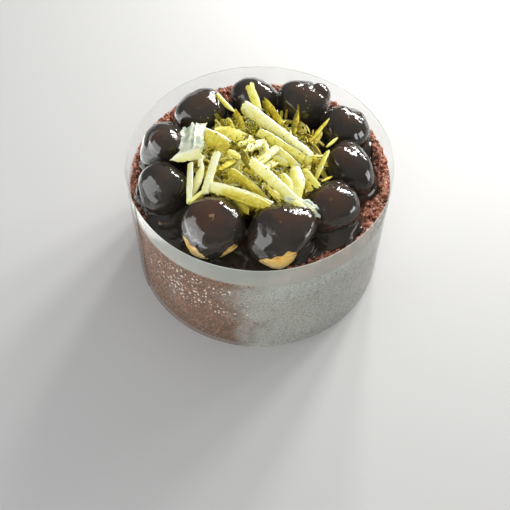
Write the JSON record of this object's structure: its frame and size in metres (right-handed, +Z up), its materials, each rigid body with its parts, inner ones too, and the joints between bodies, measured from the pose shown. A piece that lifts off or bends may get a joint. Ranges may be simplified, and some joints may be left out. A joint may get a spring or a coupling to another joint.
{
  "type": "profiterole cake",
  "caption": "Round cake coated in cocoa crumbs, held in a clear film collar and topped with a ring of chocolate-glazed choux puffs round a heap of pale chocolate shavings.",
  "frame": {"origin": "centre of the cake's flat base, on the surface it stands on", "axes": "+Z up; the side seen from the front in the picture faces -Y"},
  "size_m": [0.2, 0.2, 0.1322],
  "materials": {
    "crumb_coat": "matte red-brown cake crumbs",
    "chocolate_glaze": "wet dark chocolate glaze",
    "choux_pastry": "golden baked choux",
    "pale_shavings": "satin white chocolate",
    "pistachio": "matte ground nut",
    "clear_film": "clear film, misted inside"
  },
  "bodies": {
    "root": {"cake_body": "crumb_coat", "film_collar": "clear_film", "shavings_heap": "pale_shavings", "profiterole_01": "chocolate_glaze", "profiterole_02": "chocolate_glaze", "profiterole_03": "chocolate_glaze", "profiterole_04": "chocolate_glaze", "profiterole_05": "chocolate_glaze", "profiterole_06": "chocolate_glaze", "profiterole_07": "chocolate_glaze", "profiterole_08": "chocolate_glaze", "profiterole_09": "chocolate_glaze", "profiterole_10": "chocolate_glaze"}
  },
  "joints": []
}
